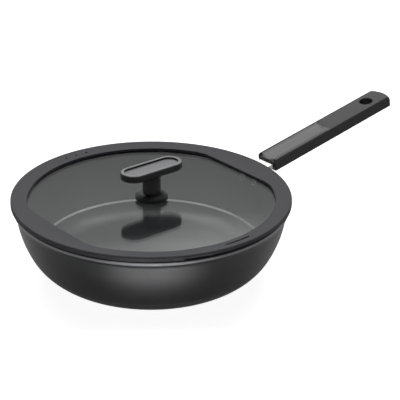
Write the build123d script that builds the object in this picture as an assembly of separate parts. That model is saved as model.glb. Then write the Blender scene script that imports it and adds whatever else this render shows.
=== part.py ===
from build123d import *
import os
from math import atan2, cos, hypot, pi, radians, sin, sqrt

# A saute pan with a glass lid, in millimetres. The pan stands on z = 0 with its axis on Z,
# the handle points along +X, the lid's pouring slot is at -Y and its straining holes at +Y.

# Pan body, turned about Z
wall_radius = 131.3  # outside, just under the lip
wall_spread = 12.3  # how far the wall leans out above the knee
knee_height = 26.0
corner_spread = 39.0  # how far the corner curve runs out from the base to the knee
base_slope = 6.0  # degrees at which the corner curve leaves the base
rim_height = 74.5
lip_height = 7.2
lip_overhang = 2.3
lip_flare = 1.7  # height of the slope under the lip
lip_rounding = 1.2
lip_top_rounding = 2.0  # of the top edge, on the outside
wall = 3.2
floor_thickness = 6.0
floor_margin = 3.0  # the flat floor's reach past the base
step_height = 19.4  # bright ring where the wall meets the corner curve
step_width = 1.3
step_rise = 0.6

# Induction disc, pressed into the underside
disc_inset = 8.0  # from the base's edge
disc_thickness = 0.8
disc_hole_radius = 3.0
disc_margin = 16.0  # from the outermost holes to the disc's edge
disc_rings = 4
disc_holes_per_ring = 8  # in the innermost ring; each further ring has as many more

# Lid rim, moulded in silicone
lid_overhang = 2.4  # past the pan's lip
rim_rise = 4.5  # from the seat to the highest edge
rim_edge_rounding = 1.45
rim_dish = 2.0  # drop of the top from its outer edge to the window
rim_dish_inner = 0.5  # further drop out to the straight sides of the window
rim_band = 15.9  # width of the rim seen from above, at the slot and the holes
window_cut = 10.1  # how much wider it is at the window's straight sides
window_corner = 9.0
window_wall = 2.35  # height of the window's wall above the glass
skirt_depth = 7.8  # below the seat, inside the pan
skirt_clearance = 0.6
skirt_wall = 3.0
lower_lip_width = 3.0
lower_lip_thickness = 2.0
relief_height = 1.3
relief_angle = 51.2  # degrees that the pouring relief spans
slot_length = 26.7
slot_width = 1.3
strain_hole_radius = 1.0
strain_hole_pitch = 12.5
strain_holes = 3
vent_inset = 8.7  # from the lid's outer edge to the slot and the holes

# Lid glass
glass_thickness = 4.0
glass_edge_gap = 0.1
glass_chamfer = 0.6

# Knob
knob_height = 33.65  # from the glass to the top of the crossbar
bar_length = 68.4
bar_width = 25.7
bar_thickness = 7.4
bar_top_rounding = 1.5
bar_bottom_rounding = 1.5
bar_rim = 3.7
bar_recess = 1.8
inlay_thickness = 0.8
neck_length = 18.4
neck_width = 16.2
neck_flare = 4.5  # how far the neck spreads under the crossbar, and over what height
base_knob_radius = 16.0
base_knob_height = 6.8
base_knob_side = 3.3
base_knob_rounding = 0.5
upper_seal_thickness = 0.5
upper_seal_inset = 0.6
lower_seal_thickness = 0.8
lower_seal_radius = 9.5
washer_thickness = 1.2
washer_radius = 8.5
washer_clearance = 0.3
screw_radius = 2.5
screw_head_radius = 4.8
screw_head_height = 2.4
screw_engagement = 12.0
thread_gap = 0.05
glass_hole_gap = 1.2
insert_wall = 1.5
insert_tail = 1.0  # blind bore left past the screw's tip
socket_width = 3.0
socket_depth = 1.4

# Handle, along a line that rises away from the pan
handle_slope = 11.0  # degrees
handle_gap = 16.4  # from the pan's lip to the near end, at the top
handle_rise = 3.9  # of the top face there above the pan's rim
handle_length = 176.0
handle_width = 26.2
handle_thickness = 12.6
handle_edge_rounding = 1.3  # along its sides, underside and upright corners
near_roll = 3.0  # rounding of the top edge at the near end
tip_bow = 3.6
tip_roll = 4.6  # rounding of the top edge at the tip
hole_radius = 7.0
hole_to_tip = 27.4
hole_rounding = 1.0
recess_length = 85.0  # along its sides
recess_depth = 1.2
recess_rail = 1.6
recess_bow = 3.0  # the ramp at the far end bows this far both ways
ramp_length = 3.0  # along the sides
panel_thickness = 1.0
panel_gap = 0.15
panel_inset = 0.6  # from the handle's near end
panel_bow = 3.2  # of the panel's near end
panel_dish = 0.5

# Bracket between the pan and the handle, pressed in steel
bracket_width = 21.0
bracket_sheet = 2.0
bracket_depth = 4.6
bracket_gap = 0.1
bracket_reach = 56.0  # inside the handle
ceiling = 2.2  # of the handle, between the panel's pocket and the bracket
foot_width = 38.0
foot_height = 19.9
foot_corner = 6.0
foot_gap = 0.2
bend_reach = 8.0  # from the handle's near end to where the arm bends down
bend_drop = 2.6  # from the lip's underside to where the bend meets the foot
bend_rounding = 4.0
rivet_margin = 2.0  # between a rivet's head and the arm's side
rivet_pitch = 18.4
rivet_radius = 2.5
rivet_head_radius = 4.0
rivet_head_height = 1.6
rivet_hole_gap = 0.1
handle_screw_inset = 16.0  # from the bracket's end in the handle
handle_screw_radius = 2.2
handle_screw_head = 4.2
handle_screw_slant = 2.0  # height of the countersunk head

overrun = 5.0  # how far a cut runs past what it cuts

# Places that follow from the sizes above
lip_base = rim_height - lip_height
lip_radius = wall_radius + lip_overhang
mouth_radius = wall_radius - wall
knee_radius = wall_radius - wall_spread
base_radius = knee_radius - corner_spread
floor_radius = base_radius + floor_margin
disc_radius = base_radius - disc_inset
disc_ring_pitch = (disc_radius - disc_margin) / disc_rings
lid_radius = lip_radius + lid_overhang
rim_top = rim_height + rim_rise
window_radius = lid_radius - rim_band
window_flat = window_radius - window_cut
window_top = rim_top - rim_dish
glass_top = window_top - window_wall
glass_bottom = glass_top - glass_thickness
skirt_radius = mouth_radius - skirt_clearance
vent_radius = lid_radius - vent_inset
glass_radius = skirt_radius - skirt_wall
knob_top = glass_top + knob_height
bar_bottom = knob_top - bar_thickness
base_bottom = glass_top + upper_seal_thickness
base_top = base_bottom + base_knob_height
washer_top = glass_bottom - lower_seal_thickness
washer_bottom = washer_top - washer_thickness
screw_tip = base_top + screw_engagement
pocket_depth = recess_depth + panel_thickness
arm_top = pocket_depth + ceiling  # below the handle's top face
handle_screw_place = bracket_reach - handle_screw_inset
foot_top = lip_base - lip_flare / 2
foot_bottom = foot_top - foot_height
rivet_height = (foot_top + foot_bottom) / 2

handle_plane = Plane(
    origin=(lip_radius + handle_gap, 0, rim_height + handle_rise),
    x_dir=(cos(radians(handle_slope)), 0, sin(radians(handle_slope))),
    z_dir=(-sin(radians(handle_slope)), 0, cos(radians(handle_slope))),
)


class SectionCurve:
    """An arc in the pan's section, from a start point and slope through an end point."""

    def __init__(self, start, slope, end):
        run, rise = end[0] - start[0], end[1] - start[1]
        half_turn = atan2(rise, run) - slope
        self.radius = hypot(run, rise) / (2 * sin(half_turn))
        self.centre = (start[0] - self.radius * sin(slope), start[1] + self.radius * cos(slope))
        self.start, self.end = start, end
        self.slope, self.end_slope = slope, slope + 2 * half_turn

    def at(self, slope):
        return (self.centre[0] + self.radius * sin(slope), self.centre[1] - self.radius * cos(slope))

    def radius_at(self, height):
        return self.centre[0] + sqrt(self.radius**2 - (height - self.centre[1]) ** 2)

    def edge(self):
        return arc_edge(self.start, self.at((self.slope + self.end_slope) / 2), self.end)


def section(point):
    """A point of a section in the XZ plane, from its radius and height."""
    return (point[0], 0, point[1])


def arc_edge(start, middle, end):
    return ThreePointArc(section(start), section(middle), section(end))


def lines(*points):
    return Polyline(*[section(point) for point in points])


def rounded(face, corner, radius):
    """The face with its corner nearest to the given point rounded."""
    nearest = face.vertices().sort_by_distance(section(corner))[0]
    return fillet(nearest, radius)


def turned(*edges):
    """The solid turned about Z from the edges of a closed section."""
    return revolve(make_face([*edges]), Axis.Z)


def ring(outer, inner, bottom, top):
    """A flat ring, or a disc where the inner radius is zero."""
    shape = Pos(0, 0, bottom) * extrude(Circle(outer), top - bottom)
    if inner:
        shape -= Pos(0, 0, bottom - overrun) * extrude(Circle(inner), top - bottom + 2 * overrun)
    return shape


corner_curve = SectionCurve((base_radius, 0), radians(base_slope), (knee_radius, knee_height))
wall_curve = SectionCurve((knee_radius, knee_height), corner_curve.end_slope, (wall_radius, lip_base))


def outer_radius_at(height):
    """The pan's outside radius at a height between the base and the lip."""
    curve = corner_curve if height < knee_height else wall_curve
    return curve.radius_at(height)


def rivet_places():
    """Planes on the pan's outer wall, one for each rivet, with their normals pointing out of the wall."""
    reach = outer_radius_at(rivet_height)
    lean = atan2(wall_curve.centre[1] - rivet_height, reach - wall_curve.centre[0])
    for side in (-1, 1):
        swing = side * rivet_pitch / 2 / reach
        out = Vector(cos(lean) * cos(swing), cos(lean) * sin(swing), -sin(lean))
        yield Plane(origin=(reach * cos(swing), reach * sin(swing), rivet_height), z_dir=out)


def rivet_holes():
    """Cutters for the rivets' holes, through the pan's wall and the bracket's foot."""
    reach = wall + foot_gap + bracket_sheet + overrun
    for place in rivet_places():
        yield place * Cylinder(rivet_radius + rivet_hole_gap, 2 * reach)


def pan_body():
    step_radius = outer_radius_at(step_height) - wall
    corner_radius = step_radius - step_width
    step_top = step_height + step_rise
    inner_corner = SectionCurve((floor_radius, floor_thickness), 0, (corner_radius, step_height))
    middle_height = (step_top + lip_base) / 2
    middle = (outer_radius_at(middle_height) - wall, middle_height)
    face = make_face(
        [
            corner_curve.edge(),
            wall_curve.edge(),
            lines(
                (wall_radius, lip_base),
                (lip_radius, lip_base + lip_flare),
                (lip_radius, rim_height),
                (mouth_radius, rim_height),
                (mouth_radius, lip_base),
            ),
            arc_edge((mouth_radius, lip_base), middle, (step_radius, step_top)),
            lines((step_radius, step_top), (corner_radius, step_height)),
            inner_corner.edge(),
            lines(
                (floor_radius, floor_thickness),
                (0, floor_thickness),
                (0, disc_thickness),
                (disc_radius, disc_thickness),
                (disc_radius, 0),
                (base_radius, 0),
            ),
        ]
    )
    for corner in ((lip_radius, lip_base + lip_flare), (mouth_radius, rim_height)):
        face = rounded(face, corner, lip_rounding)
    face = rounded(face, (lip_radius, rim_height), lip_top_rounding)
    body = revolve(face, Axis.Z)
    for hole in rivet_holes():
        body -= hole
    return body


def induction_disc():
    """A disc with rings of holes round its centre."""
    holes = []
    for number in range(1, disc_rings + 1):
        holes += PolarLocations(number * disc_ring_pitch, number * disc_holes_per_ring)
    pattern = Sketch() + [hole * Circle(disc_hole_radius) for hole in holes]
    cutter = Pos(0, 0, -overrun) * extrude(pattern, disc_thickness + 2 * overrun)
    return ring(disc_radius, 0, 0, disc_thickness) - cutter


def bracket_foot():
    """A plate bent to the pan's wall, with rounded corners seen along the handle."""
    low, middle, high = foot_line(foot_gap)
    far_low, far_middle, far_high = foot_line(foot_gap + bracket_sheet)
    shell = turned(
        arc_edge(low, middle, high),
        lines(high, far_high),
        arc_edge(far_high, far_middle, far_low),
        lines(far_low, low),
    )
    window = Plane.YZ * Pos(0, rivet_height) * RectangleRounded(foot_width, foot_height, foot_corner)
    return shell & extrude(window, lid_radius + foot_width)


def foot_line(gap):
    """The lowest, middle and highest points of the foot's section, at a gap from the pan's wall."""
    return [(outer_radius_at(height) + gap, height) for height in (foot_bottom, rivet_height, foot_top)]


def arm_point(distance, drop):
    """A point of the XZ plane, from its distance along the handle and its drop below the top face."""
    point = handle_plane.from_local_coords(Vector(distance, 0, -drop))
    return (point.X, point.Z)


def arm_side(extra):
    """The arm seen from the side, bent down to the foot; extra lowers its underside and lengthens it."""
    inside = outer_radius_at(lip_base) + foot_gap
    bend = arm_point(-bend_reach, arm_top)
    foot = (inside, lip_base - bend_drop)
    side = make_face(
        lines(
            arm_point(bracket_reach + extra, arm_top),
            bend,
            foot,
            (inside, rivet_height + rivet_head_radius + rivet_margin - extra),
            arm_point(-bend_reach, arm_top + bracket_depth + extra),
            arm_point(bracket_reach + extra, arm_top + bracket_depth + extra),
            arm_point(bracket_reach + extra, arm_top),
        )
    )
    return rounded(rounded(side, bend, bend_rounding), foot, bend_rounding)


def handle_bracket():
    """The foot, an arm of channel section that runs into the handle, and their rivet and screw holes."""
    arm = extrude(arm_side(0), bracket_width / 2, both=True)
    hollow = offset(arm_side(2 * bracket_sheet), -bracket_sheet, kind=Kind.INTERSECTION)
    arm -= extrude(hollow, bracket_width / 2 - bracket_sheet, both=True)
    bracket = bracket_foot() + (arm - pan_blank(foot_gap))
    for hole in rivet_holes():
        bracket -= hole
    screw_hole = Cylinder(handle_screw_radius + thread_gap, 2 * handle_thickness)
    return bracket - handle_plane * Pos(handle_screw_place, 0, 0) * screw_hole


def pan_blank(gap):
    """The space that the pan's outside fills, with a gap all round, for cutting what meets it."""
    low, middle, high = foot_line(gap)
    lip = lip_radius + gap
    return turned(
        lines((0, foot_bottom), low),
        arc_edge(low, middle, high),
        lines(high, (lip, lip_base + lip_flare), (lip, rim_height), (0, rim_height), (0, foot_bottom)),
    )


def bracket_rivets():
    """Two rivets, each with a flat head inside the pan and a formed head on the bracket's foot."""
    grip = wall + foot_gap + bracket_sheet
    rivets = []
    for place in rivet_places():
        shank = Pos(0, 0, grip / 2 - wall) * Cylinder(rivet_radius, grip)
        rivet = place * shank
        for end, turn in ((-wall, 180), (foot_gap + bracket_sheet, 0)):
            rivet += place * Pos(0, 0, end) * Rot(turn, 0, 0) * rivet_head()
        rivets.append(rivet)
    return Compound(children=rivets)


def rivet_head():
    head = extrude(Circle(rivet_head_radius), rivet_head_height)
    return fillet(head.edges().group_by(Axis.Z)[-1], rivet_head_height / 2)


def handle_blank():
    """The handle without its cuts: a bar whose top rolls down at both ends, with its edges rounded."""
    half = handle_width / 2
    corner = handle_length - tip_bow
    outline = make_face(
        [
            Polyline((corner, half), (0, half), (0, -half), (corner, -half)),
            ThreePointArc((corner, -half), (handle_length, 0), (corner, half)),
        ]
    )
    body = extrude(outline, -handle_thickness)
    body = fillet(top_edges(body)[-1], tip_roll)
    body = fillet(top_edges(body)[0], near_roll)
    along = body.edges().filter_by(lambda edge: abs(edge.center().Y) > half - panel_gap)
    ends = body.edges().group_by(Axis.Z)[0].sort_by(lambda edge: abs(edge.center().Y))[:2]
    return fillet(along + ends, handle_edge_rounding)


def top_edges(body):
    """The edges round the body's top face, from its near end to its far end."""
    return body.edges().group_by(Axis.Z)[-1].sort_by(lambda edge: edge.center().X)


def recess_outline(far, bow, margin):
    """The recess in the handle's top, open at the near end and bowed at the far end."""
    half = handle_width / 2 - recess_rail - margin
    return make_face(
        [
            Polyline((far, half), (-overrun, half), (-overrun, -half), (far, -half)),
            ThreePointArc((far, -half), (far + bow, 0), (far, half)),
        ]
    )


def handle_shell():
    """The handle's moulding, with the recess on top, the bracket's space inside and the hanging hole."""
    body = handle_blank()
    floor = recess_outline(recess_length, -recess_bow, 0)
    ramp_top = recess_outline(recess_length + ramp_length, recess_bow, 0)
    body -= extrude(floor, -pocket_depth)
    body -= loft([Pos(0, 0, -recess_depth) * floor, ramp_top])
    reach = bracket_reach + bracket_gap
    space = Box(reach + overrun, bracket_width + 2 * bracket_gap, bracket_depth + 2 * bracket_gap)
    body -= Pos((reach - overrun) / 2, 0, -arm_top - bracket_depth / 2) * space
    hole_place = handle_length - hole_to_tip
    body -= Pos(hole_place, 0, 0) * Cylinder(hole_radius, 2 * (handle_thickness + overrun))
    circles = body.edges().filter_by(GeomType.CIRCLE)
    rims = circles.filter_by(lambda edge: abs(edge.arc_center.X - hole_place) < hole_radius)
    body = fillet(rims, hole_rounding)
    return handle_plane * (body - screw_place() * screw_shape(thread_gap))


def screw_place():
    """Where the screw's head lies, in the handle's underside."""
    return Pos(handle_screw_place, 0, -handle_thickness)


def screw_shape(gap):
    """The countersunk screw, from its head up to the top of the bracket's arm, with a gap round its shank."""
    reach = handle_thickness - arm_top
    shank = Pos(0, 0, reach / 2) * Cylinder(handle_screw_radius + gap, reach)
    head = Cone(handle_screw_head, handle_screw_radius, handle_screw_slant)
    return shank + Pos(0, 0, handle_screw_slant / 2) * head


def handle_panel():
    """The panel in the recess, dished across its width."""
    outline = recess_outline(recess_length - panel_gap, -recess_bow, panel_gap)
    blank = Pos(0, 0, -pocket_depth) * extrude(outline, panel_thickness)
    half = handle_width / 2 - recess_rail
    corner = panel_inset + panel_bow
    near_end = make_face(
        [
            Polyline((corner, half), (recess_length, half), (recess_length, -half), (corner, -half)),
            ThreePointArc((corner, -half), (panel_inset, 0), (corner, half)),
        ]
    )
    dish_radius = (half**2 + panel_dish**2) / (2 * panel_dish)
    dish = Rot(0, 90, 0) * Cylinder(dish_radius, 2 * (recess_length + overrun))
    dish = Pos(0, 0, dish_radius - recess_depth - panel_dish) * dish
    return handle_plane * ((blank & extrude(near_end, -handle_thickness)) - dish)


def handle_screw():
    drive = Box(socket_width, socket_width, 2 * socket_depth)
    return handle_plane * screw_place() * (screw_shape(0) - drive)


def lid_window():
    """The opening in the rim's top: a circle with a straight side towards and away from the handle."""
    opening = Circle(window_radius) & Rectangle(2 * window_flat, 2 * lid_radius)
    return fillet(opening.vertices(), window_corner)


def lid_rim():
    """The moulding round the glass: dished on top, with a skirt inside the pan and a lip under the glass."""
    inner = window_flat - window_corner
    top_edge = lid_radius - rim_edge_rounding
    edge_arc_middle = rim_edge_rounding * sin(pi / 4)
    inner_top = (inner, window_top - rim_dish_inner)
    lip_inner = glass_radius - lower_lip_width
    seat = glass_bottom - lower_lip_thickness
    body = turned(
        arc_edge((top_edge, rim_top), (window_radius, window_top), inner_top),
        lines(
            inner_top,
            (inner, glass_top),
            (glass_radius + glass_edge_gap, glass_top),
            (glass_radius + glass_edge_gap, glass_bottom),
            (lip_inner, glass_bottom),
            (lip_inner, seat),
            (glass_radius, rim_height - skirt_depth),
            (skirt_radius, rim_height - skirt_depth),
            (skirt_radius, rim_height),
            (lid_radius, rim_height),
            (lid_radius, rim_top - rim_edge_rounding),
        ),
        arc_edge(
            (lid_radius, rim_top - rim_edge_rounding),
            (top_edge + edge_arc_middle, rim_top - rim_edge_rounding + edge_arc_middle),
            (top_edge, rim_top),
        ),
    )
    body -= Pos(0, 0, glass_top) * extrude(lid_window(), rim_rise + overrun)
    return body - vent_cutters() - pouring_relief()


def vent_cutters():
    """The slot at the pouring side and the holes at the straining side, through the rim."""
    bottom = Pos(0, 0, rim_height - skirt_depth - overrun)
    depth = rim_rise + skirt_depth + 2 * overrun
    slot_turn = slot_length / vent_radius * 180 / pi
    slot = SlotArc(CenterArc((0, 0), vent_radius, -90 - slot_turn / 2, slot_turn), slot_width)
    holes_turn = strain_hole_pitch * (strain_holes - 1) / vent_radius * 180 / pi
    places = PolarLocations(vent_radius, strain_holes, 90 - holes_turn / 2, holes_turn, endpoint=True)
    holes = Sketch() + [place * Circle(strain_hole_radius) for place in places]
    return bottom * extrude(slot, depth) + bottom * extrude(holes, depth)


def pouring_relief():
    """The part of the rim's underside that stays off the pan, to let liquid out."""
    outer = lid_radius + overrun
    wedge = revolve(
        make_face(
            lines(
                (skirt_radius, rim_height - overrun),
                (outer, rim_height - overrun),
                (outer, rim_height + relief_height),
                (skirt_radius, rim_height + relief_height),
                (skirt_radius, rim_height - overrun),
            )
        ),
        Axis.Z,
        relief_angle,
    )
    return Rot(0, 0, -90 - relief_angle / 2) * wedge


def lid_glass():
    disc = ring(glass_radius, screw_radius + glass_hole_gap, glass_bottom, glass_top)
    rims = disc.edges().filter_by(GeomType.CIRCLE).sort_by(lambda edge: edge.radius)[-2:]
    return chamfer(rims, glass_chamfer)


def knob_grip():
    """The crossbar and its neck, in one moulding, with a recess for the inlay and a bore for the insert."""
    bar = Pos(0, 0, bar_bottom) * extrude(SlotOverall(bar_length, bar_width), bar_thickness)
    bar = fillet(bar.edges().group_by(Axis.Z)[0], bar_bottom_rounding)
    bar = fillet(bar.edges().group_by(Axis.Z)[-1], bar_top_rounding)
    recess = bar_recess + inlay_thickness
    bar -= Pos(0, 0, knob_top - recess) * extrude(inlay_outline(0), recess + overrun)
    flare_start = bar_bottom - neck_flare
    neck = Pos(0, 0, base_top) * extrude(Ellipse(neck_length / 2, neck_width / 2), flare_start - base_top)
    flare = loft(
        [
            Pos(0, 0, flare_start) * Ellipse(neck_length / 2, neck_width / 2),
            Pos(0, 0, bar_bottom + bar_bottom_rounding) * Ellipse(
                neck_length / 2 + neck_flare, neck_width / 2 + neck_flare / 2
            ),
        ]
    )
    grip = bar + neck + flare
    return grip - ring(insert_radius(), 0, base_top - overrun, insert_top())


def inlay_outline(gap):
    return SlotOverall(bar_length - 2 * bar_rim - 2 * gap, bar_width - 2 * bar_rim - 2 * gap)


def insert_radius():
    return screw_radius + insert_wall


def insert_top():
    return screw_tip + insert_tail


def knob_inlay():
    plate = extrude(inlay_outline(panel_gap), inlay_thickness)
    plate = fillet(plate.edges().group_by(Axis.Z)[-1], inlay_thickness / 2)
    return Pos(0, 0, knob_top - bar_recess - inlay_thickness) * plate


def knob_base():
    """The collar that carries the neck, domed from its side up to the neck."""
    top_radius = neck_length / 2 + base_knob_rounding
    side_top = base_bottom + base_knob_side
    dome_middle = (
        (base_knob_radius + top_radius) / 2 + base_knob_rounding,
        (side_top + base_top) / 2 + base_knob_rounding,
    )
    bore = screw_radius + thread_gap
    return turned(
        lines((bore, base_top), (bore, base_bottom), (base_knob_radius - base_knob_rounding, base_bottom)),
        lines(
            (base_knob_radius - base_knob_rounding, base_bottom),
            (base_knob_radius, base_bottom + base_knob_rounding),
            (base_knob_radius, side_top),
        ),
        arc_edge((base_knob_radius, side_top), dome_middle, (top_radius, base_top)),
        lines((top_radius, base_top), (bore, base_top)),
    )


def upper_seal():
    return ring(base_knob_radius - upper_seal_inset, screw_radius + thread_gap, glass_top, base_bottom)


def lower_seal():
    return ring(lower_seal_radius, screw_radius + thread_gap, washer_top, glass_bottom)


def knob_washer():
    return ring(washer_radius, screw_radius + washer_clearance, washer_bottom, washer_top)


def knob_screw():
    shank = ring(screw_radius, 0, washer_bottom, screw_tip)
    head = ring(screw_head_radius, 0, washer_bottom - screw_head_height, washer_bottom)
    head = fillet(head.edges().group_by(Axis.Z)[0], screw_head_height / 3)
    drive = Pos(0, 0, washer_bottom - screw_head_height) * Box(socket_width, socket_width, 2 * socket_depth)
    return shank + head - drive


def knob_insert():
    return ring(insert_radius(), screw_radius + thread_gap, base_top, insert_top())


subparts = {
    "pan_body": pan_body,
    "induction_disc": induction_disc,
    "handle_bracket": handle_bracket,
    "bracket_rivets": bracket_rivets,
    "handle_shell": handle_shell,
    "handle_panel": handle_panel,
    "handle_screw": handle_screw,
    "lid_rim": lid_rim,
    "lid_glass": lid_glass,
    "knob_grip": knob_grip,
    "knob_inlay": knob_inlay,
    "knob_base": knob_base,
    "knob_upper_seal": upper_seal,
    "knob_lower_seal": lower_seal,
    "knob_washer": knob_washer,
    "knob_screw": knob_screw,
    "knob_insert": knob_insert,
}

os.makedirs("parts", exist_ok=True)
for name, build in subparts.items():
    export_step(build(), f"parts/{name}.step")
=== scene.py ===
from math import atan2, cos, hypot, pi, radians, sin, tau

import bpy
import numpy as np
from mathutils import Matrix, Vector


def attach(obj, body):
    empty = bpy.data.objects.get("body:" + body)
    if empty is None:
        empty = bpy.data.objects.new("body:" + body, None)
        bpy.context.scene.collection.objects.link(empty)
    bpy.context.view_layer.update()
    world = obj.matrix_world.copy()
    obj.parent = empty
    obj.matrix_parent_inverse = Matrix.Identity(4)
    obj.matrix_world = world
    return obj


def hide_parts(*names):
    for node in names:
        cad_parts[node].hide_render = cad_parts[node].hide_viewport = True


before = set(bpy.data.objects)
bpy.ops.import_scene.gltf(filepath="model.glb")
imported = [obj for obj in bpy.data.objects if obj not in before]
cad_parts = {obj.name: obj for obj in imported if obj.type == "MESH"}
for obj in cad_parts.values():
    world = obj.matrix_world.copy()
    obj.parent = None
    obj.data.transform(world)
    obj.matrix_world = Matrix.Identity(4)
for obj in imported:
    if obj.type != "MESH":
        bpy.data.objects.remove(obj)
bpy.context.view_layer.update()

mm = 0.001  # sizes below are in millimetres, with the pan standing on z = 0 and its handle along +X

shading = {
    "crease": 32,  # degrees, above which an edge stays sharp
    "flatWeight": 100,  # how firmly flat faces hold the normals beside them
    "weld": 1e-6,  # metres
}


# rows run along a profile and columns go round, closing on themselves. A pole closes an end with one point,
# and closedRows joins the last row to the first, as in a ring's section.
def skin(name, grid, poleFirst=False, poleLast=False, closedRows=False, smooth=True):
    rows, columns = grid.shape[:2]
    points = grid.reshape(-1, 3)
    row = np.arange(rows if closedRows else rows - 1)[:, None]
    column = np.arange(columns)[None, :]
    nextRow = (row + 1) % rows
    nextColumn = (column + 1) % columns
    quads = np.stack(
        [
            row * columns + column,
            row * columns + nextColumn,
            nextRow * columns + nextColumn,
            nextRow * columns + column,
        ],
        axis=-1,
    ).reshape(-1, 4)
    faces = quads.tolist()
    ring = np.arange(columns)
    if poleFirst:
        points = np.vstack([points, grid[0].mean(axis=0)])
        tip = len(points) - 1
        faces += np.stack([np.roll(ring, -1), ring, np.full(columns, tip)], axis=1).tolist()
    if poleLast:
        points = np.vstack([points, grid[-1].mean(axis=0)])
        tip = len(points) - 1
        last = ring + (rows - 1) * columns
        faces += np.stack([last, np.roll(last, -1), np.full(columns, tip)], axis=1).tolist()
    mesh = bpy.data.meshes.new(name)
    mesh.from_pydata((points * mm).tolist(), [], faces)
    mesh.update()
    piece = bpy.data.objects.new(name, mesh)
    bpy.context.scene.collection.objects.link(piece)
    if smooth:
        soften(piece)
    return piece


# smooth shading up to the crease angle, with flat faces kept flat beside their roundings
def soften(piece):
    mesh = piece.data
    mesh.polygons.foreach_set("use_smooth", np.ones(len(mesh.polygons), bool))
    mesh.set_sharp_from_angle(angle=radians(shading["crease"]))
    weighted = piece.modifiers.new("flatFaces", "WEIGHTED_NORMAL")
    weighted.keep_sharp = True
    weighted.weight = shading["flatWeight"]


# a closed run of points turned about Z: x = r cos a, y = r sin a
def turned(name, profile, columns, **closing):
    profile = np.asarray(profile, float)
    turn = np.arange(columns) * tau / columns
    radius, height = profile[:, 0][:, None], profile[:, 1][:, None]
    grid = np.stack([radius * np.cos(turn), radius * np.sin(turn), height + 0 * turn], axis=-1)
    return skin(name, grid, **closing)


# a line through corners (x, y, rounding), each rounded corner an arc that touches both of its sides
def roundedLine(corners, steps=7):
    corners = np.asarray([tuple(corner) + (0,) * (3 - len(corner)) for corner in corners], float)
    before = np.roll(corners[:, :2], 1, axis=0)
    after = np.roll(corners[:, :2], -1, axis=0)
    runs = []
    for index, (x, y, rounding) in enumerate(corners):
        if rounding and 0 < index < len(corners) - 1:
            runs.append(cornerArc((x, y), before[index], after[index], rounding, steps))
        else:
            runs.append(np.array([[x, y]]))
    return np.vstack(runs)


# the arc of a given radius that touches the lines from a corner to the points before and after it
def cornerArc(corner, before, after, rounding, steps):
    corner = np.asarray(corner, float)
    back, ahead = before - corner, after - corner
    back, ahead = back / np.linalg.norm(back), ahead / np.linalg.norm(ahead)
    opening = np.arccos(np.clip(back @ ahead, -1, 1))
    reach = rounding / np.tan(opening / 2)
    middle = (back + ahead) / np.linalg.norm(back + ahead)
    centre = corner + middle * rounding / np.sin(opening / 2)
    first, last = corner + back * reach - centre, corner + ahead * reach - centre
    start = np.arctan2(first[1], first[0])
    sweep = (np.arctan2(last[1], last[0]) - start + pi) % tau - pi
    angle = start + sweep * np.linspace(0, 1, steps)
    return centre + rounding * np.stack([np.cos(angle), np.sin(angle)], axis=1)


# an arc that leaves a point at a slope and ends at another point: its points from start to end, the slope
# at its end, its centre and its radius
def slopeArc(start, slope, end, steps):
    run, rise = end[0] - start[0], end[1] - start[1]
    halfTurn = atan2(rise, run) - slope
    radius = hypot(run, rise) / (2 * sin(halfTurn))
    centre = np.array([start[0] - radius * sin(slope), start[1] + radius * cos(slope)])
    angle = slope + 2 * halfTurn * np.linspace(0, 1, steps)
    points = centre + radius * np.stack([np.sin(angle), -np.cos(angle)], axis=1)
    return points, slope + 2 * halfTurn, centre, radius


# the circle through three points, as its centre and radius
def circleThrough(first, second, third):
    matrix = 2 * np.array([np.subtract(second, first), np.subtract(third, first)], float)
    square = np.dot(first, first)
    squares = np.array([np.dot(second, second) - square, np.dot(third, third) - square])
    centre = np.linalg.solve(matrix, squares)
    return centre, np.linalg.norm(centre - first)


# the angles of a quarter turn in even steps
def quarter(steps):
    return np.linspace(0, pi / 2, steps)


# a piece's mesh with its modifiers made real
def applied(piece):
    bpy.context.view_layer.update()
    mesh = bpy.data.meshes.new_from_object(piece.evaluated_get(bpy.context.evaluated_depsgraph_get()))
    piece.modifiers.clear()
    piece.data = mesh
    soften(piece)
    return piece


# the piece's mesh with each cutter taken out of it
def carve(piece, *cutters):
    for cutter in cutters:
        cut = piece.modifiers.new("cut", "BOOLEAN")
        cut.operation = "DIFFERENCE"
        cut.solver = "EXACT"
        cut.object = cutter
    applied(piece)
    for cutter in cutters:
        bpy.data.objects.remove(cutter)
    return piece


# a copy of a CAD node's mesh with its triangles joined, to be shaded smoothly
def joinedCopy(node, name):
    piece = bpy.data.objects.new(name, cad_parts[node].data.copy())
    bpy.context.scene.collection.objects.link(piece)
    weld = piece.modifiers.new("weld", "WELD")
    weld.merge_threshold = shading["weld"]
    return applied(piece)


def place(piece, material, body, node):
    piece.data.materials.clear()
    piece.data.materials.append(material)
    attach(piece, body)
    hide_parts(node)
    return piece


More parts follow.
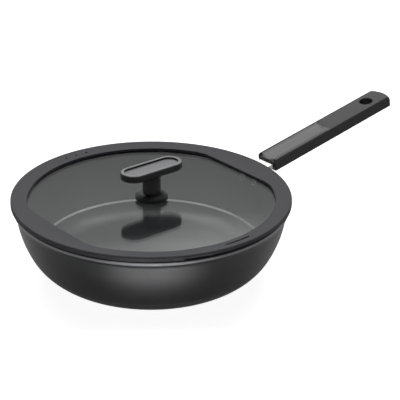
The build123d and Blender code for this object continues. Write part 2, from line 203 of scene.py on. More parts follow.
# one output socket of a material: + - * / on it add Math nodes to the same tree
class Wire:
    def __init__(self, tree, socket=None):
        self.tree = tree
        self.socket = socket

    # a node of any type: its settings first, then the values or links of its sockets
    def node(self, kind, settings={}, sockets={}, output=0):
        made = self.tree.nodes.new(kind)
        for name, value in settings.items():
            if name == "stops":
                ramp = made.color_ramp.elements
                for stop, (at, colour) in zip((ramp[0], ramp[1]), value[:2]):
                    stop.position, stop.color = at, colour
                for at, colour in value[2:]:
                    ramp.new(at).color = colour
            else:
                setattr(made, name, value)
        for name, value in sockets.items():
            if isinstance(value, Wire):
                self.tree.links.new(value.socket, made.inputs[name])
            else:
                made.inputs[name].default_value = value
        return Wire(self.tree, made.outputs[output])

    def maths(self, operation, first, second):
        return self.node("ShaderNodeMath", {"operation": operation}, {0: first, 1: second})

    def __add__(self, other):
        return self.maths("ADD", self, other)

    def __radd__(self, other):
        return self.maths("ADD", other, self)

    def __sub__(self, other):
        return self.maths("SUBTRACT", self, other)

    def __rsub__(self, other):
        return self.maths("SUBTRACT", other, self)

    def __mul__(self, other):
        return self.maths("MULTIPLY", self, other)

    def __rmul__(self, other):
        return self.maths("MULTIPLY", other, self)

    def __truediv__(self, other):
        return self.maths("DIVIDE", self, other)

    def clamped(self, low, high):
        return self.maths("MINIMUM", self.maths("MAXIMUM", self, low), high)

    # 0 below one value and 1 above another
    def rising(self, low, high):
        return ((self - low) / (high - low)).clamped(0, 1)

    # 1 between two values and 0 outside them, with soft edges
    def within(self, low, high, edge):
        return ((self - low) / edge).clamped(0, 1) * ((high - self) / edge).clamped(0, 1)

    # a colour between two colours
    def mix(self, factor, first, second):
        ends = [(*end, 1) if isinstance(end, tuple) else end for end in (first, second)]
        return self.node("ShaderNodeMix", {"data_type": "RGBA"}, {0: factor, 6: ends[0], 7: ends[1]}, 2)

    def place(self):
        return self.node("ShaderNodeTexCoord", output="Object")

    def height(self):
        return self.node("ShaderNodeSeparateXYZ", {}, {0: self.place()}, "Z")

    def length(self, vector):
        return self.node("ShaderNodeVectorMath", {"operation": "LENGTH"}, {0: vector}, "Value")

    def noise(self, scale, detail, roughness, stretch=None):
        where = self.place()
        if stretch:
            where = self.node("ShaderNodeMapping", {}, {"Vector": where, "Scale": stretch})
        sockets = {"Vector": where, "Scale": scale, "Detail": detail, "Roughness": roughness}
        return self.node("ShaderNodeTexNoise", {}, sockets)

    def bump(self, height, distance, strength):
        return self.node("ShaderNodeBump", {}, {"Height": height, "Distance": distance, "Strength": strength})


# a Principled material: constants go on the shader's own sockets, and paint(base) gives what changes over
# the surface
def finish(name, constants, paint):
    made = bpy.data.materials.new(name)
    made.use_nodes = True
    tree = made.node_tree
    shader = tree.nodes["Principled BSDF"]
    for socket, value in constants.items():
        shader.inputs[socket].default_value = value
    for socket, wire in paint(Wire(tree)).items():
        tree.links.new(wire.socket, shader.inputs[socket])
    return made


# how far the slow cloud and the fine grain move the roughness to either side of its middle
def variedRoughness(look, cloud, grain):
    return look["roughness"] + (cloud - 0.5) * look["cloudShare"] + (grain - 0.5) * look["grainShare"]


# a surface whose colour a slow cloud moves between dark and light, under a fine grain. Noises are given as
# scale, detail, roughness and, for brushed or turned surfaces, a stretch; bumps as distance and strength.
def grained(look):
    def paint(base):
        cloud = base.noise(*look["cloud"])
        grain = base.noise(*look["grain"])
        painted = {
            "Base Color": base.mix(cloud, look["dark"], look["light"]),
            "Roughness": variedRoughness(look, cloud, grain),
        }
        if "bump" in look:
            painted["Normal"] = base.bump(grain, *look["bump"])
        return painted

    return paint


# the pan's coating, satin with small flecks. Bands are given as low, high and softness in metres.
coating = {
    "colour": (0.014, 0.014, 0.015),
    "fleck": (0.03, 0.03, 0.032),
    "flake": (2600, 1, 0.5),
    "flakeFrom": 0.56,
    "flakeMost": 0.12,
    "flakeGain": 5,
    "cloud": (18, 3, 0.6),
    "grain": (1500, 2, 0.6),
    "roughness": 0.34,
    "cloudShare": 0.06,
    "grainShare": 0.05,
    "bump": (0.00002, 0.5),
    "lip": (0.0690, 0.0720, 0.0006),  # painted highlight: bright metal round the lip's outside, standing in for its highlight
    "lipHighlightColour": (0.27, 0.27, 0.275),
    "stepHeights": (0.0188, 0.0204, 0.0002),  # painted highlight: bright metal along the step inside, for the thin bright ring there
    "stepRadii": (0.1090, 0.1145, 0.0002),
    "stepHighlightColour": (0.75, 0.75, 0.76),
    "paintedHighlightMetal": 0.8,
    "top": (0.0721, 0.0760, 0.0003),  # painted shade: the lip's top, in the gap under the rim, is made black, a metal that mirrors almost nothing
    "gapShadeColour": (0.006, 0.006, 0.006),
    "gapShadeMetal": 0.9,
}


# the coating's colour: flecks, painted highlights on the lip and the step, and painted shade on the lip's top
def paintCoating(base):
    cloud = base.noise(*coating["cloud"])
    flake = base.noise(*coating["flake"])
    grain = base.noise(*coating["grain"])
    flecks = (flake - coating["flakeFrom"]).clamped(0, coating["flakeMost"]) * coating["flakeGain"]
    height = base.height()
    flat = base.node("ShaderNodeVectorMath", {"operation": "MULTIPLY"}, {0: base.place(), 1: (1, 1, 0)})
    # painted highlight along the step
    step = height.within(*coating["stepHeights"]) * base.length(flat).within(*coating["stepRadii"])
    # painted highlight round the lip
    lip = height.within(*coating["lip"])
    # painted shade on the lip's top, in the gap under the rim
    top = height.within(*coating["top"])
    dark = base.mix(top, base.mix(flecks, coating["colour"], coating["fleck"]), coating["gapShadeColour"])
    return {
        "Base Color": base.mix(step, base.mix(lip, dark, coating["lipHighlightColour"]), coating["stepHighlightColour"]),
        # metal for the painted highlights on the lip and the step, and for the painted shade on the lip's top
        "Metallic": (lip + step) * coating["paintedHighlightMetal"] + top * coating["gapShadeMetal"],
        "Roughness": variedRoughness(coating, cloud, grain),
        "Normal": base.bump(grain, *coating["bump"]),
    }


silicone = {
    "dark": (0.047, 0.046, 0.053),
    "light": (0.058, 0.057, 0.065),
    "cloud": (25, 3, 0.6),
    "grain": (900, 3, 0.6),
    "roughness": 0.62,
    "cloudShare": 0.08,
    "grainShare": 0.0,
    "bump": (0.00003, 0.5),
}

blackPlastic = {
    "dark": (0.010, 0.010, 0.011),
    "light": (0.015, 0.015, 0.016),
    "cloud": (60, 2, 0.5),
    "grain": (1400, 2, 0.6),
    "roughness": 0.42,
    "cloudShare": 0.08,
    "grainShare": 0.06,
    "bump": (0.00002, 0.5),
    "band": (0.1078, 0.1090, 0.0004),  # painted sheen: the knob's top band, paler where the light falls on it
    "knobTopSheenColour": (0.28, 0.28, 0.285),
}


# black plastic, with a painted sheen on the knob's top band
def paintBlackPlastic(base):
    painted = grained(blackPlastic)(base)
    # painted sheen on the knob's top band
    band = base.height().within(*blackPlastic["band"])
    painted["Base Color"] = base.mix(band, painted["Base Color"], blackPlastic["knobTopSheenColour"])
    return painted


handlePlastic = {
    "dark": (0.010, 0.0095, 0.0115),
    "light": (0.015, 0.0145, 0.017),
    "cloud": (30, 2, 0.5),
    "grain": (1100, 3, 0.65),
    "roughness": 0.52,
    "cloudShare": 0.06,
    "grainShare": 0.08,
    "bump": (0.00006, 0.7),
}

panelPlastic = {
    "dark": (0.028, 0.027, 0.032),
    "light": (0.037, 0.036, 0.041),
    "cloud": (40, 2, 0.5),
    "grain": (1600, 2, 0.6),
    "roughness": 0.36,
    "cloudShare": 0.06,
    "grainShare": 0.05,
    "bump": (0.00002, 0.5),
}

inlayPlate = {
    "dark": (0.20, 0.20, 0.21),
    "light": (0.25, 0.25, 0.26),
    "cloud": (50, 2, 0.5),
    "grain": (60, 2, 0.6, (1.5, 60, 1)),
    "roughness": 0.34,
    "cloudShare": 0.0,
    "grainShare": 0.12,
    "bump": (0.00001, 0.4),
}

steel = {
    "dark": (0.55, 0.55, 0.54),
    "light": (0.66, 0.66, 0.65),
    "cloud": (35, 2, 0.5),
    "grain": (90, 3, 0.6, (2, 40, 40)),
    "roughness": 0.26,
    "cloudShare": 0.0,
    "grainShare": 0.16,
    "bump": (0.00001, 0.4),
}

# one noise moves both colour and roughness, here and in the brass
sealRubber = {
    "dark": (0.008, 0.008, 0.008),
    "light": (0.014, 0.014, 0.014),
    "cloud": (1200, 2, 0.6),
    "grain": (1200, 2, 0.6),
    "roughness": 0.6,
    "cloudShare": 0.0,
    "grainShare": 0.1,
    "bump": (0.00002, 0.4),
}

brass = {
    "dark": (0.62, 0.42, 0.16),
    "light": (0.75, 0.55, 0.25),
    "cloud": (80, 2, 0.6, (1, 1, 40)),
    "grain": (80, 2, 0.6, (1, 1, 40)),
    "roughness": 0.3,
    "cloudShare": 0.0,
    "grainShare": 0.16,
}

# the disc under the pan, turned in fine rings
discSteel = {
    "dark": (0.46, 0.46, 0.45),
    "light": (0.62, 0.62, 0.61),
    "ringScale": 2200,
    "ringDetail": 2,
    "roughness": 0.28,
    "ringShare": 0.2,
    "bump": (0.00002, 0.5),
}


def paintDisc(base):
    across = base.length(base.place()) * discSteel["ringScale"]
    rings = base.node(
        "ShaderNodeTexNoise", {"noise_dimensions": "1D"}, {"W": across, "Detail": discSteel["ringDetail"]}
    )
    return {
        "Base Color": base.mix(rings, discSteel["dark"], discSteel["light"]),
        "Roughness": discSteel["roughness"] + (rings - 0.5) * discSteel["ringShare"],
        "Normal": base.bump(rings, *discSteel["bump"]),
    }


coatingMaterial = finish("panCoating", {"Specular IOR Level": 0.6}, paintCoating)
siliconeMaterial = finish("rimSilicone", {"Specular IOR Level": 0.4}, grained(silicone))
knobMaterial = finish("knobPlastic", {"Specular IOR Level": 0.7}, paintBlackPlastic)
collarMaterial = finish("collarPlastic", {"Specular IOR Level": 0.4}, paintBlackPlastic)
handleMaterial = finish("handlePlastic", {"Specular IOR Level": 0.55}, grained(handlePlastic))
panelMaterial = finish("panelPlastic", {"Specular IOR Level": 0.8}, grained(panelPlastic))
inlayMaterial = finish("inlayPlate", {"Metallic": 0.6, "Specular IOR Level": 0.5}, grained(inlayPlate))
steelMaterial = finish("brushedSteel", {"Metallic": 1.0}, grained(steel))
discMaterial = finish("discSteel", {"Metallic": 1.0}, paintDisc)
sealMaterial = finish("sealRubber", {"Specular IOR Level": 0.35}, grained(sealRubber))
brassMaterial = finish("insertBrass", {"Metallic": 1.0}, grained(brass))
print("materials made")


pan = {
    "wallRadius": 131.3,
    "kneeRadius": 119.0,  # where the corner curve meets the wall
    "kneeHeight": 26.0,
    "baseRadius": 80.0,
    "baseSlope": 6.0,  # degrees
    "baseEdge": 1.0,
    "rimHeight": 74.5,
    "lipBase": 67.3,
    "lipRadius": 133.6,
    "lipFlare": 1.7,
    "lipRounding": 1.2,
    "lipTopRounding": 2.0,
    "flareFrom": 63.4,  # the hollow under the lip begins here
    "flareJoin": 0.3,
    "wall": 3.2,
    "floorRadius": 83.0,
    "floorThickness": 6.0,
    "stepHeight": 19.4,
    "stepWidth": 1.3,
    "stepRise": 0.6,
    "stepRounding": 0.55,
    "stepTuck": 0.05,
    "discRadius": 72.0,
    "discThickness": 0.8,
    "poleRadius": 8.0,  # of the innermost ring, above and below
    "columns": 384,
}

knee = (pan["kneeRadius"], pan["kneeHeight"])
corner, kneeSlope, cornerCentre, cornerRadius = slopeArc(
    (pan["baseRadius"], 0), radians(pan["baseSlope"]), knee, 40
)
outerWall, wallSlope, wallCentre, wallCurve = slopeArc(
    knee, kneeSlope, (pan["wallRadius"], pan["lipBase"]), 40
)


# the pan's outside radius at a height
def wallAt(height):
    centre, radius = (cornerCentre, cornerRadius) if height < pan["kneeHeight"] else (wallCentre, wallCurve)
    return float(centre[0] + np.sqrt(radius**2 - (height - centre[1]) ** 2))


# the section runs up the outside, over the lip, down the inside and in along the floor, then turns about Z
def makePan():
    base, lipBase, floorHeight = pan["baseRadius"], pan["lipBase"], pan["floorThickness"]
    disc, discTop = pan["discRadius"], pan["discThickness"]
    mouth = pan["wallRadius"] - pan["wall"]
    flareStart = (wallAt(pan["flareFrom"]), pan["flareFrom"])
    flare = slopeArc(flareStart, wallSlope, (pan["lipRadius"], lipBase + pan["lipFlare"]), 10)[0]
    lip = roundedLine(
        [
            tuple(flare[-2]),
            (*flare[-1], pan["lipRounding"] / 2),
            (pan["lipRadius"], pan["rimHeight"], pan["lipTopRounding"]),
            (mouth, pan["rimHeight"], pan["lipRounding"]),
            (mouth, lipBase),
        ]
    )
    stepTop = pan["stepHeight"] + pan["stepRise"]
    stepRadius = wallAt(pan["stepHeight"]) - pan["wall"]
    cornerTop = stepRadius - pan["stepWidth"]
    middleHeight = (stepTop + lipBase) / 2
    middle = (wallAt(middleHeight) - pan["wall"], middleHeight)
    centre, radius = circleThrough((mouth, lipBase), middle, (stepRadius, stepTop))
    heights = np.linspace(lipBase, stepTop, 50)[1:]
    inner = np.stack([centre[0] + np.sqrt(radius**2 - (heights - centre[1]) ** 2), heights], axis=1)
    innerCorner = slopeArc((pan["floorRadius"], floorHeight), 0, (cornerTop, pan["stepHeight"]), 30)[0][::-1]
    beadEnd = (cornerTop - pan["stepTuck"], stepTop, pan["stepRounding"])
    bead = roundedLine([(stepRadius, stepTop), beadEnd, innerCorner[1]], 8)[1:-1]
    floor = np.linspace(pan["floorRadius"], pan["poleRadius"], 12)[1:]
    profile = np.vstack(
        [
            [(pan["poleRadius"], discTop), (disc, discTop), (disc, 0), (base - pan["baseEdge"], 0)],
            corner,
            outerWall[1:][outerWall[1:, 1] < pan["flareFrom"] - pan["flareJoin"]],
            flare[:-1],
            lip[1:-1],
            inner,
            bead,
            innerCorner[1:],
            np.stack([floor, 0 * floor + floorHeight], axis=1),
        ]
    )
    return turned("panBody", profile, pan["columns"], poleFirst=True, poleLast=True)


place(makePan(), coatingMaterial, "pan", "pan_body")
print("pan made")


rim = {
    "radius": 136.0,
    "seat": 74.5,
    "top": 79.0,
    "edgeRounding": 1.45,
    "lowerRounding": 0.35,
    "windowRadius": 120.1,
    "windowFlat": 110.0,  # from the axis to the window's straight sides
    "windowBlunt": 60.0,  # the larger, the tighter the corners there
    "windowEase": 0.69,  # how much is taken off them
    "windowTop": 77.0,
    "windowTopInner": 76.5,
    "windowInner": 101.0,
    "windowRounding": 0.5,
    "glassTop": 74.65,
    "glassBottom": 70.65,
    "glassRadius": 124.6,
    "lipInner": 121.5,
    "lipBottom": 68.65,
    "skirtInner": 124.5,
    "skirtRadius": 127.5,
    "skirtBottom": 66.7,
    "pourAngle": 270.0,  # degrees from the handle round to the slot
    "reliefHeight": 1.3,
    "reliefAngle": 51.2,
    "reliefStep": 2e-4,  # radians over which the underside steps up to the relief
    "ventRadius": 127.3,
    "slotLength": 26.7,
    "slotWidth": 2.0,
    "holeRadius": 1.2,
    "holePitch": 12.5,
    "holes": 3,
    "cutPast": 2.0,  # how far the cutters run past the rim
    "columns": 720,
}
pourTurn = radians(rim["pourAngle"])


# distance from the axis to the window's edge: a circle cut by a straight side towards and away from the
# handle, the corners between them eased over a few degrees
def windowEdge(turn):
    straight = rim["windowFlat"] / np.maximum(np.abs(np.cos(turn)), 1e-6)
    ease = rim["windowRadius"] / rim["windowBlunt"]
    spread = np.exp(-np.abs(straight - rim["windowRadius"]) / ease)
    least = np.minimum(straight, rim["windowRadius"])
    return least - rim["windowEase"] * ease * np.log1p(spread) / np.log(2)


# each column is the rim's section at one angle, closed on itself; the underside is raised over the relief
def makeRim():
    reliefHalf = radians(rim["reliefAngle"] / 2)
    ends = np.array([pourTurn - reliefHalf, pourTurn + reliefHalf])
    even = np.arange(rim["columns"]) * tau / rim["columns"]
    turn = np.sort(np.concatenate([even, ends - rim["reliefStep"], ends + rim["reliefStep"]]))
    lift = np.where(np.abs(turn - pourTurn) < reliefHalf, rim["reliefHeight"], 0.0)
    edge = windowEdge(turn)
    rounding, lower, upper = rim["windowRounding"], rim["lowerRounding"], rim["edgeRounding"]
    inner, outer = edge + rounding, rim["radius"] - upper
    centre, radius = circleThrough(
        (outer, rim["top"]),
        (rim["windowRadius"], rim["windowTop"]),
        (rim["windowInner"], rim["windowTopInner"]),
    )

    def dish(distance):  # height of the dished top at a distance from the axis
        return centre[1] - np.sqrt(radius**2 - (distance - centre[0]) ** 2)

    rows = []

    def add(distance, height):  # rows with a point for each column
        rows.append(np.stack([distance + 0 * turn, height + 0 * turn], axis=-1))

    top = outer + (inner - outer) * np.linspace(0, 1, 13)[:, None]
    add(top, dish(top))
    bend = quarter(7)[1:, None]
    add(inner - rounding * np.sin(bend), dish(inner) - rounding * (1 - np.cos(bend)))
    for distance, height in (
        (edge, rim["glassTop"]),
        (rim["glassRadius"], rim["glassTop"]),
        (rim["glassRadius"], rim["glassBottom"]),
        (rim["lipInner"], rim["glassBottom"]),
        (rim["lipInner"], rim["lipBottom"]),
        (rim["skirtInner"], rim["skirtBottom"]),
        (rim["skirtRadius"], rim["skirtBottom"]),
        (rim["skirtRadius"], rim["seat"] + lift),
    ):
        add(np.atleast_2d(distance), np.atleast_2d(height))
    bend = quarter(5)[:, None]
    add(rim["radius"] - lower + lower * np.sin(bend), rim["seat"] + lift + lower * (1 - np.cos(bend)))
    bend = quarter(10)[:-1, None]
    add(outer + upper * np.cos(bend), rim["top"] - upper + upper * np.sin(bend))
    distance, height = np.moveaxis(np.concatenate(rows)[::-1], -1, 0)
    grid = np.stack([distance * np.cos(turn), distance * np.sin(turn), height], axis=-1)
    return carve(skin("lidRim", grid, closedRows=True, smooth=False), *ventCutters())


# upright slots and pins through the rim: an outline round each vent, carried from under the skirt to above
# the top
def ventCutters():
    radius, half = rim["ventRadius"], rim["slotWidth"] / 2
    turn = rim["slotLength"] / radius / 2
    along = np.linspace(-turn, turn, 20)
    outside = np.stack([along, 0 * along + half], axis=1)
    sweep = np.linspace(0, pi, 9)[1:-1]
    endCap = np.stack([turn + half * np.sin(sweep) / radius, half * np.cos(sweep)], axis=1)
    outline = np.vstack([outside, endCap, outside[::-1] * (1, -1), endCap[::-1] * (-1, 1)])
    distance, angle = radius + outline[:, 1], pourTurn + outline[:, 0]
    slot = np.stack([distance * np.cos(angle), distance * np.sin(angle)], axis=1)
    cutters = [upright("slotCutter", slot)]
    around = (np.arange(24) + 0.5) * tau / 24
    circle = rim["holeRadius"] * np.stack([np.cos(around), np.sin(around)], axis=1)
    for index in range(rim["holes"]):
        angle = pourTurn - pi + (index - (rim["holes"] - 1) / 2) * rim["holePitch"] / radius
        cutters.append(upright("holeCutter", radius * np.array([cos(angle), sin(angle)]) + circle))
    return cutters


# an outline in XY carried straight up through the rim
def upright(name, outline):
    heights = np.array([rim["skirtBottom"] - rim["cutPast"], rim["top"] + rim["cutPast"]])[:, None]
    grid = np.stack(
        [outline[:, 0] + 0 * heights, outline[:, 1] + 0 * heights, heights + 0 * outline[:, 0]], axis=-1
    )
    return skin(name, grid, poleFirst=True, poleLast=True, smooth=False)


place(makeRim(), siliconeMaterial, "lid", "lid_rim")
print("rim made")


# a flat disc of clear glass, its edges ground
glass = {
    "radius": 124.5,
    "bottom": 70.65,
    "top": 74.65,
    "bore": 3.7,
    "ground": 0.6,
    "columns": 256,
    "colour": (0.95, 0.97, 0.97, 1),
    "shade": (0.93, 0.95, 0.95, 1),  # of the lamps' light that passes through it
    "bending": 1.5,
    "roughness": 0.012,
    "roughest": 0.03,
    "smear": (9, 2, 0.5),
    "smearShare": 0.016,
}


# clear glass that lets the lamps' light through to what lies under it
def glassMaterial():
    def paint(base):
        smear = (base.noise(*glass["smear"]) - 0.5) * glass["smearShare"]
        return {"Roughness": (glass["roughness"] + smear).clamped(0.0, glass["roughest"])}

    constants = {"Base Color": glass["colour"], "Transmission Weight": 1.0, "IOR": glass["bending"]}
    made = finish("clearGlass", constants, paint)
    tree = made.node_tree
    through = tree.nodes.new("ShaderNodeBsdfTransparent")
    through.inputs["Color"].default_value = glass["shade"]
    shadowRay = Wire(tree).node("ShaderNodeLightPath", output="Is Shadow Ray")
    blend = tree.nodes.new("ShaderNodeMixShader")
    tree.links.new(shadowRay.socket, blend.inputs[0])
    tree.links.new(tree.nodes["Principled BSDF"].outputs[0], blend.inputs[1])
    tree.links.new(through.outputs[0], blend.inputs[2])
    tree.links.new(blend.outputs[0], tree.nodes["Material Output"].inputs["Surface"])
    return made


def makeGlass():
    bottom, top, radius, ground = glass["bottom"], glass["top"], glass["radius"], glass["ground"]
    profile = [
        (glass["bore"], bottom),
        (radius - ground, bottom),
        (radius, bottom + ground),
        (radius, top - ground),
        (radius - ground, top),
        (glass["bore"], top),
    ]
    return turned("lidGlass", profile, glass["columns"], closedRows=True)


place(makeGlass(), glassMaterial(), "lid", "lid_glass")
print("glass made")


knob = {
    "top": 108.3,
    "barBottom": 100.9,
    "barLength": 68.4,
    "barWidth": 25.7,
    "topRounding": 1.5,
    "bottomRounding": 1.5,
    "bandWidth": 3.7,
    "bandRounding": 0.3,
    "recessFloor": 105.7,
    "poleInset": 0.5,  # of the last ring before a pole, from the bar's middle line
    "neckLength": 18.4,
    "neckWidth": 16.2,
    "neckBottom": 81.95,
    "neckFlare": 4.5,
    "flareAcross": 0.6,  # the flare's share across the bar
    "inlayThickness": 0.8,
    "inlayGap": 0.15,
    "inlayRounding": 0.4,
}


# a rounded bar seen from above, its edge moved in by an inset: half circles joined by straight sides
def barOutline(inset):
    half = knob["barWidth"] / 2
    straight = (knob["barLength"] - knob["barWidth"]) / 2
    cap = np.linspace(-pi / 2, pi / 2, 41)
    side = np.linspace(1, -1, 24)[1:-1]
    end = straight + half * np.cos(cap)
    x = np.concatenate([end, side * straight, -end, -side * straight])
    y = np.concatenate([half * np.sin(cap), 0 * side + half, -half * np.sin(cap), 0 * side - half])
    centreX = np.clip(x, -straight, straight)
    scale = (half - inset) / half
    return np.stack([centreX + (x - centreX) * scale, y * scale], axis=1)


# the neck's oval with the same columns as the bar's outline
def neckOutline(grow):
    outline = barOutline(0)
    angle = np.arctan2(outline[:, 1] / knob["barWidth"], outline[:, 0] / knob["barLength"])
    length = knob["neckLength"] / 2 + grow
    width = knob["neckWidth"] / 2 + knob["flareAcross"] * grow
    return np.stack([length * np.cos(angle), width * np.sin(angle)], axis=1)


# an outline in XY as a row of points at a height
def level(outline, height):
    return np.column_stack([outline, np.full(len(outline), height)])


# one skin: up the neck, out along its flare and under the bar, round the bar's edges, in over the band and
# down into the recess
def makeGrip():
    flare, under, over = knob["neckFlare"], knob["bottomRounding"], knob["topRounding"]
    bottom, top = knob["barBottom"], knob["top"]
    band, bandRounding = knob["bandWidth"], knob["bandRounding"]
    rows = [level(neckOutline(0), height) for height in np.linspace(knob["neckBottom"], bottom - flare, 8)]
    rows += [
        level(neckOutline(flare * (1 - cos(bend))), bottom - flare * (1 - sin(bend)))
        for bend in quarter(12)[1:]
    ]
    oval, underside = neckOutline(flare), barOutline(under)
    rows += [level(oval + (underside - oval) * share, bottom) for share in np.linspace(0, 1, 8)[1:]]
    rows += [
        level(barOutline(under * (1 - sin(bend))), bottom + under * (1 - cos(bend)))
        for bend in quarter(9)[1:]
    ]
    rows += [level(barOutline(over * (1 - cos(bend))), top - over * (1 - sin(bend))) for bend in quarter(7)]
    rows += [
        level(barOutline(band - bandRounding * (1 - sin(bend))), top - bandRounding * (1 - cos(bend)))
        for bend in quarter(5)
    ]
    recess = np.linspace(top - bandRounding, knob["recessFloor"], 4)[1:]
    rows += [level(barOutline(band), height) for height in recess]
    rows.append(level(barOutline(knob["barWidth"] / 2 - knob["poleInset"]), knob["recessFloor"]))
    return skin("knobGrip", np.array(rows), poleFirst=True, poleLast=True)


# a plate of the bar's outline, its top edge rounded
def makeInlay():
    inset, rounding = knob["bandWidth"] + knob["inlayGap"], knob["inlayRounding"]
    bottom, top = knob["recessFloor"], knob["recessFloor"] + knob["inlayThickness"]
    rows = [level(barOutline(inset), bottom)]
    rows += [
        level(barOutline(inset + rounding * (1 - cos(bend))), top - rounding * (1 - sin(bend)))
        for bend in quarter(7)
    ]
    rows.append(level(barOutline(knob["barWidth"] / 2 - knob["poleInset"]), top))
    return skin("knobInlay", np.array(rows), poleFirst=True, poleLast=True)


collar = {
    "radius": 16.0,
    "bottom": 75.15,
    "side": 3.3,
    "top": 81.95,
    "topRadius": 9.7,
    "rounding": 0.5,
    "bore": 2.55,
    "columns": 160,
}


# up the bore's foot, out under the collar, up its side and in over a dome that is an arc of a circle
def makeCollar():
    bore, bottom, radius = collar["bore"], collar["bottom"], collar["radius"]
    sideTop = bottom + collar["side"]
    side, top = (radius, sideTop), (collar["topRadius"], collar["top"])
    middle = [(low + high) / 2 + collar["rounding"] for low, high in zip(side, top)]
    centre, domeRadius = circleThrough(side, middle, top)
    ends = [atan2(y - centre[1], x - centre[0]) for x, y in (side, top)]
    turn = np.linspace(*ends, 18)
    dome = centre + domeRadius * np.stack([np.cos(turn), np.sin(turn)], axis=1)
    foot = roundedLine([(bore, bottom), (radius, bottom, collar["rounding"]), side])[1:-1]
    profile = np.vstack([[(bore, collar["top"]), (bore, bottom)], foot, dome])
    return turned("knobBase", profile, collar["columns"], closedRows=True)


# flat rings between and under the knob and the glass: outer radius, inner radius, bottom and top
rings = {
    "knobUpperSeal": (15.4, 2.55, 74.65, 75.15),
    "knobLowerSeal": (9.5, 2.55, 69.85, 70.65),
    "knobWasher": (8.5, 2.8, 68.65, 69.85),
}
ringColumns = 128


def makeRing(name):
    outer, inner, bottom, top = rings[name]
    profile = [(inner, bottom), (outer, bottom), (outer, top), (inner, top)]
    return turned(name, profile, ringColumns, closedRows=True)


place(makeGrip(), knobMaterial, "lid", "knob_grip")
place(makeInlay(), inlayMaterial, "lid", "knob_inlay")
place(makeCollar(), collarMaterial, "lid", "knob_base")
place(makeRing("knobUpperSeal"), sealMaterial, "lid", "knob_upper_seal")
place(makeRing("knobLowerSeal"), sealMaterial, "lid", "knob_lower_seal")
place(makeRing("knobWasher"), steelMaterial, "lid_carrier", "knob_washer")
place(joinedCopy("knob_screw", "knobScrew"), steelMaterial, "lid", "knob_screw")
place(joinedCopy("knob_insert", "knobInsert"), brassMaterial, "lid", "knob_insert")
print("knob made")


# the handle is made along its own line and then tilted
handle = {
    "start": 150.0,
    "height": 78.4,
    "slope": 11.0,  # degrees
    "width": 26.2,
    "recessLength": 85.0,
    "recessDepth": 1.2,
    "recessRail": 1.6,
    "recessBow": 3.0,
    "panelThickness": 1.0,
    "panelGap": 0.15,
    "panelDish": 0.5,
    "panelEdge": 0.35,  # from the handle's top down to the panel's sides
    "panelSides": 6,  # the power with which they rise
    "panelRamp": 5.0,
    "panelInset": 0.6,
    "panelBow": 3.2,
    "panelRows": 70,
    "panelColumns": 41,
}


# points along the handle, across it and above its top face, put where the handle is
def tilted(points):
    slope = radians(handle["slope"])
    along, across, above = np.moveaxis(points, -1, 0)
    return np.stack(
        [
            handle["start"] + along * cos(slope) - above * sin(slope),
            across,
            handle["height"] + along * sin(slope) + above * cos(slope),
        ],
        axis=-1,
    )


# the plate in the recess: a flat trough whose sides rise as the sixth power of the distance from its middle,
# and whose far end rises as a square
def makePanel():
    gap, depth = handle["panelGap"], handle["recessDepth"]
    half = handle["width"] / 2 - handle["recessRail"] - gap
    across = np.linspace(-half, half, handle["panelColumns"])
    near = handle["panelInset"] + handle["panelBow"] * (across / half) ** 2
    far = handle["recessLength"] - gap - handle["recessBow"] * (1 - (across / half) ** 2)
    x = near + (far - near) * (1 - np.linspace(1, 0, handle["panelRows"])[:, None] ** 2)
    ramp = np.clip(1 - (far - x) / handle["panelRamp"], 0, 1) ** 2
    low = -depth - handle["panelDish"]
    top = low - (handle["panelEdge"] + low) * np.maximum((across / half) ** handle["panelSides"], ramp)
    bottom = -depth - handle["panelThickness"]
    upper = np.stack([x, across + 0 * x, top + 0 * x], axis=-1)
    lower = np.stack([x, across + 0 * x, bottom + 0 * x], axis=-1)
    grid = np.concatenate([upper, lower[:, ::-1]], axis=1)
    return skin("handlePanel", tilted(grid[::-1]), poleFirst=True, poleLast=True)


place(joinedCopy("handle_shell", "handleShell"), handleMaterial, "pan", "handle_shell")
place(makePanel(), panelMaterial, "pan", "handle_panel")
place(joinedCopy("handle_bracket", "handleBracket"), steelMaterial, "pan", "handle_bracket")
place(joinedCopy("bracket_rivets", "bracketRivets"), steelMaterial, "pan", "bracket_rivets")
place(joinedCopy("handle_screw", "handleScrew"), steelMaterial, "pan", "handle_screw")
place(joinedCopy("induction_disc", "inductionDisc"), discMaterial, "pan", "induction_disc")
print("handle made")


stage = {
    "floorColour": (0.66, 0.66, 0.67),
    "floorFar": (0.68, 0.68, 0.69),
    "floorCloud": (3, 2, 0.5),
    "glow": 0.93,  # 1 is white to the camera
    "mirrored": 0.15,  # of the glow, near the pan
    "mirroredFar": 0.2,  # of that, from shadeTo on
    "shadeFrom": 0.20,
    "shadeTo": 0.34,
    "floorSize": 12.0,
    "cameraSide": 232.2,  # degrees from the handle round to the photograph's camera
    "aim": (0.02, 0.0, 0.06),
}
towards = radians(stage["cameraSide"])


# rays that see the background: the camera's, and those mirrored by or passing through the object
def backgroundRays(base):
    glossy = base.node("ShaderNodeLightPath", output="Is Glossy Ray")
    passing = base.node("ShaderNodeLightPath", output="Is Transmission Ray")
    return base.node("ShaderNodeLightPath", output="Is Camera Ray"), (glossy + passing).clamped(0, 1)


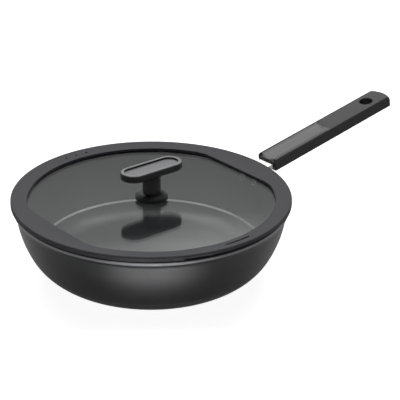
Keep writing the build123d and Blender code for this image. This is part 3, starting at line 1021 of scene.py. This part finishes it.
# a pale floor that keeps the pan's shadow: its own light lifts it to white for the camera and less for
# mirrored rays, as the photographed walls mirror a floor in shade
def paintFloor(base):
    camera, mirrored = backgroundRays(base)
    near = base.node(
        "ShaderNodeMapRange",
        {"interpolation_type": "SMOOTHSTEP"},
        {
            "Value": base.length(base.place()),
            "From Min": stage["shadeFrom"],
            "From Max": stage["shadeTo"],
            "To Min": 1.0,
            "To Max": stage["mirroredFar"],
        },
    )
    glow = (camera + mirrored * near * stage["mirrored"]).clamped(0, 1) * stage["glow"]
    return {
        "Base Color": base.mix(base.noise(*stage["floorCloud"]), stage["floorColour"], stage["floorFar"]),
        "Emission Color": base.node("ShaderNodeCombineColor", {}, {0: glow, 1: glow, 2: glow}),
    }


def makeFloor():
    size = stage["floorSize"]
    corners = [(-size, -size, 0), (size, -size, 0), (size, size, 0), (-size, size, 0)]
    mesh = bpy.data.meshes.new("floor")
    mesh.from_pydata(corners, [], [(0, 1, 2, 3)])
    constants = {"Specular IOR Level": 0.0, "Emission Strength": 1.0}
    mesh.materials.append(finish("paleFloor", constants, paintFloor))
    floor = bpy.data.objects.new("floor", mesh)
    bpy.context.scene.collection.objects.link(floor)
    return floor


makeFloor()


# world light: white to the camera, and to mirrored and refracted rays white at the horizon and grey above it,
# with paler cards that the lid's near half mirrors; the lamps light the rest
world = {
    # the ray's height and the brightness there
    "levels": ((0.18, 1.0), (0.26, 0.385), (0.39, 0.385), (0.43, 0.53), (0.50, 0.53), (0.56, 0.26)),
    "ambient": 0.02,
    "card": 0.5,  # a further card to the camera's right, which the glass's near right part mirrors
    "cardSide": (-0.02, 0.045),  # where it fades in, from left to right
    "cardHeight": (0.424, 0.50, 0.022),  # its lower and upper edge and their softness
}


def makeWorld():
    studio = bpy.data.worlds.new("studio")
    bpy.context.scene.world = studio
    studio.use_nodes = True
    tree = studio.node_tree
    background = tree.nodes["Background"]
    background.inputs["Color"].default_value = (1, 1, 1, 1)
    base = Wire(tree)
    direction = base.node("ShaderNodeTexCoord", output="Generated")
    height = base.node("ShaderNodeSeparateXYZ", {}, {0: direction}, "Z")
    stops = [(at, (grey, grey, grey, 1)) for at, grey in world["levels"]]
    brightness = base.node("ShaderNodeValToRGB", {"stops": stops}, {"Fac": height})
    right = (-sin(towards), cos(towards), 0)
    side = base.node("ShaderNodeVectorMath", {"operation": "DOT_PRODUCT"}, {0: direction, 1: right}, "Value")
    card = side.rising(*world["cardSide"]) * height.within(*world["cardHeight"]) * world["card"]
    camera, mirrored = backgroundRays(base)
    unseen = 1 - (camera + mirrored).clamped(0, 1)
    strength = camera + mirrored * (brightness + card) + unseen * world["ambient"]
    tree.links.new(strength.socket, background.inputs["Strength"])


makeWorld()

# the lamps: azimuth and elevation in degrees, the azimuth from the photograph's camera, then metres and watts
lamps = {
    "backLow": {"azimuth": 180, "elevation": 41, "distance": 1.8, "size": (1.8, 0.35), "power": 7.6},
    "backHigh": {"azimuth": 180, "elevation": 68, "distance": 1.6, "size": (2.0, 0.6), "power": 12.3},
    "overhead": {"azimuth": 0, "elevation": 85, "distance": 1.6, "size": (1.2, 1.2), "power": 1.5},
}


# a lamp that looks at a target from its own direction and distance
def addLamp(name, azimuth, elevation, distance, size, power, target=stage["aim"]):
    light = bpy.data.lights.new(name, "AREA")
    light.shape = "RECTANGLE"
    light.size, light.size_y = size
    light.energy = power
    turn, lift = towards + radians(azimuth), radians(elevation)
    away = Vector((cos(lift) * cos(turn), cos(lift) * sin(turn), sin(lift)))
    lamp = bpy.data.objects.new(name, light)
    lamp.location = Vector(target) + away * distance
    lamp.rotation_euler = (-away).to_track_quat("-Z", "Y").to_euler()
    bpy.context.scene.collection.objects.link(lamp)
    return lamp


for name, values in lamps.items():
    addLamp(name, **values)

# a small lamp straight above the floor between the camera and the pan, for the soft light on the wall's front
front = {"reach": 0.205, "height": 0.15, "size": (0.15, 0.04), "power": 0.185, "spread": 50}
below = (front["reach"] * cos(towards), front["reach"] * sin(towards), 0)
frontLamp = addLamp("front", 0, 90, front["height"], front["size"], front["power"], below)
frontLamp.rotation_euler = (0, 0, towards + pi / 2)
frontLamp.data.spread = radians(front["spread"])
frontLamp.visible_camera = False

# the photograph's viewpoint, from a fit of the pan's outlines
view = {
    "position": (-0.7267, -0.9361, 0.6155),
    "forward": (0.5855, 0.6955, -0.4165),
    "roll": 0.71,  # degrees
    "lens": 120.7,
    "sensor": 36,
    "clipEnd": 50,
}


def makeCamera():
    forward = Vector(view["forward"]).normalized()
    right = forward.cross(Vector((0, 0, 1))).normalized()
    up = right.cross(forward)
    roll = radians(view["roll"])
    rolledRight = cos(roll) * right + sin(roll) * up
    rolledUp = -sin(roll) * right + cos(roll) * up
    lens = bpy.data.cameras.new("camera")
    lens.lens = view["lens"]
    lens.sensor_width = view["sensor"]
    lens.clip_end = view["clipEnd"]
    camera = bpy.data.objects.new("camera", lens)
    turn = Matrix((rolledRight, rolledUp, -forward)).transposed()
    camera.matrix_world = Matrix.Translation(Vector(view["position"])) @ turn.to_4x4()
    bpy.context.scene.collection.objects.link(camera)
    bpy.context.scene.camera = camera


makeCamera()
bpy.context.scene.view_settings.view_transform = "Standard"
print("stage made")
